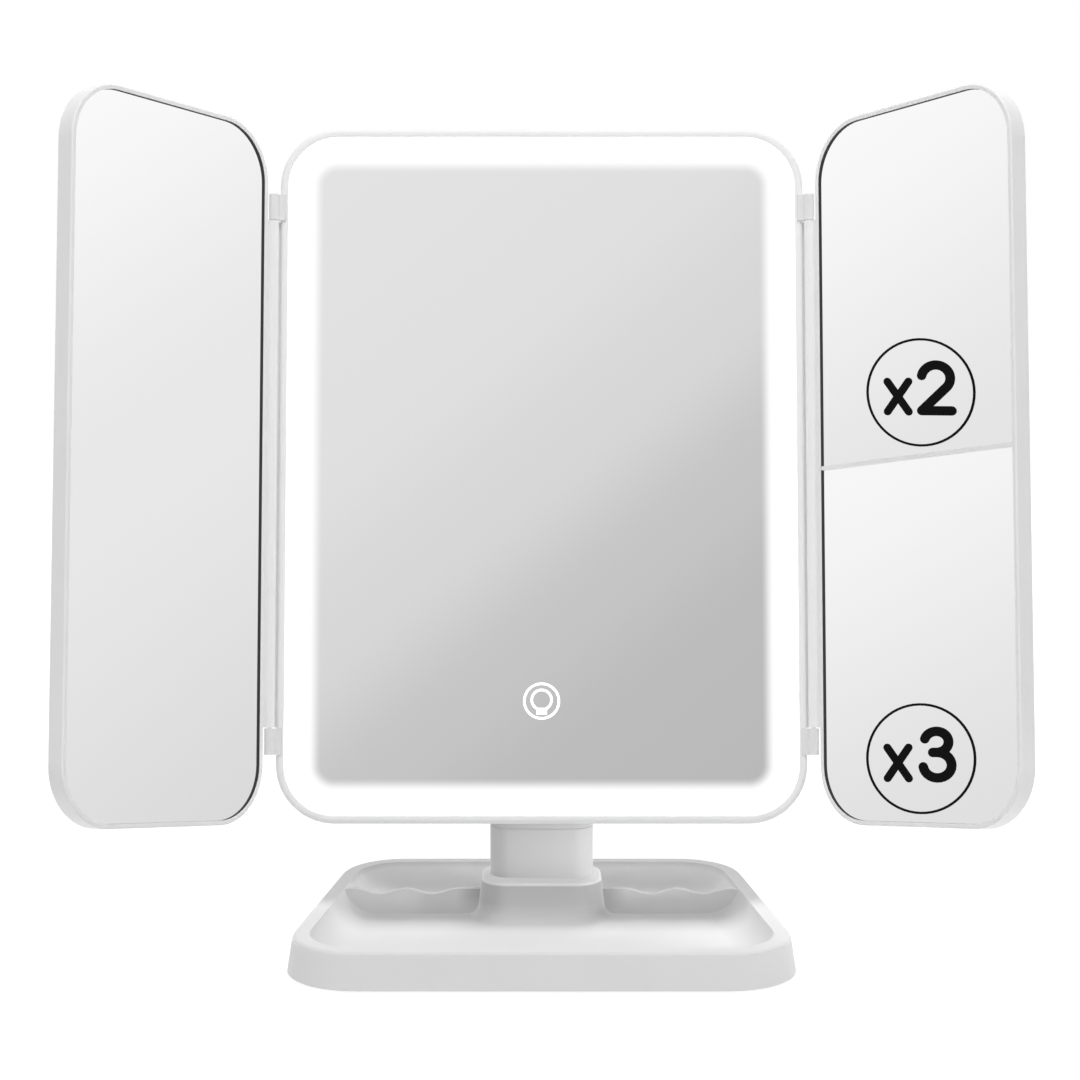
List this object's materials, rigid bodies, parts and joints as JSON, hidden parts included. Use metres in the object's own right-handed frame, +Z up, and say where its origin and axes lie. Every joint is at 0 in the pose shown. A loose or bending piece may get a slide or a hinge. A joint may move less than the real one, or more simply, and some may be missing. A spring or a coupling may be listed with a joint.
{
  "type": "trifold vanity mirror",
  "caption": "Lighted tabletop vanity mirror with folding side mirrors, tilting neck, battery housing and a tray base with wavy divider.",
  "frame": {"origin": "middle of the base, on the table plane, at the underside of the middle rubber foot", "axes": "+Z up, +X to the viewer's right along the open width, the mirrors face -Y towards the user"},
  "size_m": [0.3084, 0.1358, 0.2894],
  "materials": {
    "white_shell": "white injection-moulded ABS, satin gloss",
    "pale_panel": "fine matt white ABS",
    "light_ring": "milky translucent PMMA, lit from behind",
    "mirror_glass": "silvered glass",
    "steel": "nickel-plated steel",
    "rubber": "black rubber",
    "foam_tape": "grey foam tape",
    "board_green": "green solder mask on glass-fibre board",
    "board_white": "white light board",
    "led_yellow": "phosphor-filled chip",
    "cell_jacket": "plain dark jacket without print",
    "switch_black": "black nylon",
    "sign_white": "white print on the glass",
    "sign_black": "black print on the glass"
  },
  "bodies": {
    "base": {"base_shell": "white_shell", "bottom_cover": "pale_panel", "ballast_plate": "steel", "rubber_feet": "rubber", "base_screws": "steel", "neck_front_shell": "white_shell", "neck_rear_shell": "white_shell", "neck_screws": "steel", "pivot_head": "white_shell"},
    "head": {"front_bezel": "white_shell", "light_diffuser": "light_ring", "centre_mirror": "mirror_glass", "mirror_foam": "foam_tape", "mirror_carrier": "white_shell", "led_strip": "board_white", "led_chips": "led_yellow", "touch_sensor": "board_green", "touch_sign": "sign_white", "rear_housing": "white_shell", "housing_screws": "steel", "control_board": "board_green", "aa_cells": "cell_jacket", "battery_contacts": "steel", "usb_socket": "steel", "switch_body": "switch_black", "hinge_blocks_left": "white_shell", "hinge_blocks_right": "white_shell", "hinge_pins": "steel", "pivot_shaft": "steel", "friction_washers": "rubber", "spring_washers": "steel", "pivot_nut": "steel"},
    "battery_door": {"battery_door": "white_shell"},
    "power_switch": {"switch_slider": "switch_black"},
    "left_wing": {"left_wing_frame": "white_shell", "left_wing_back": "pale_panel", "left_wing_mirror": "mirror_glass", "left_wing_gasket": "rubber", "left_wing_foam": "foam_tape"},
    "right_wing": {"right_wing_frame": "white_shell", "right_wing_back": "pale_panel", "right_upper_mirror": "mirror_glass", "right_lower_mirror": "mirror_glass", "right_wing_bar": "pale_panel", "right_wing_gasket": "rubber", "right_wing_foam": "foam_tape", "right_wing_signs": "sign_black"}
  },
  "joints": [
    {"name": "head_tilt", "type": "hinge", "parent": "base", "child": "head", "pos_m": [0, 0.0209, 0.04735], "axis": [-1, 0, 0], "range_deg": [-25, 75]},
    {"name": "left_wing_fold", "type": "hinge", "parent": "head", "child": "left_wing", "pos_m": [-0.0926, 0.0195, 0.15949], "axis": [0, 0.2233, 0.9748], "range_deg": [-52.4, 127.6]},
    {"name": "right_wing_fold", "type": "hinge", "parent": "head", "child": "right_wing", "pos_m": [0.0926, 0.0195, 0.15949], "axis": [0, -0.2233, -0.9748], "range_deg": [-52.4, 127.6]},
    {"name": "power_switch_slide", "type": "slide", "parent": "head", "child": "power_switch", "axis": [1, 0, 0], "range_m": [0, 0.003]},
    {"name": "battery_door_lift", "type": "slide", "parent": "head", "child": "battery_door", "axis": [0, 0.9748, -0.2233], "range_m": [0, 0.02]}
  ]
}
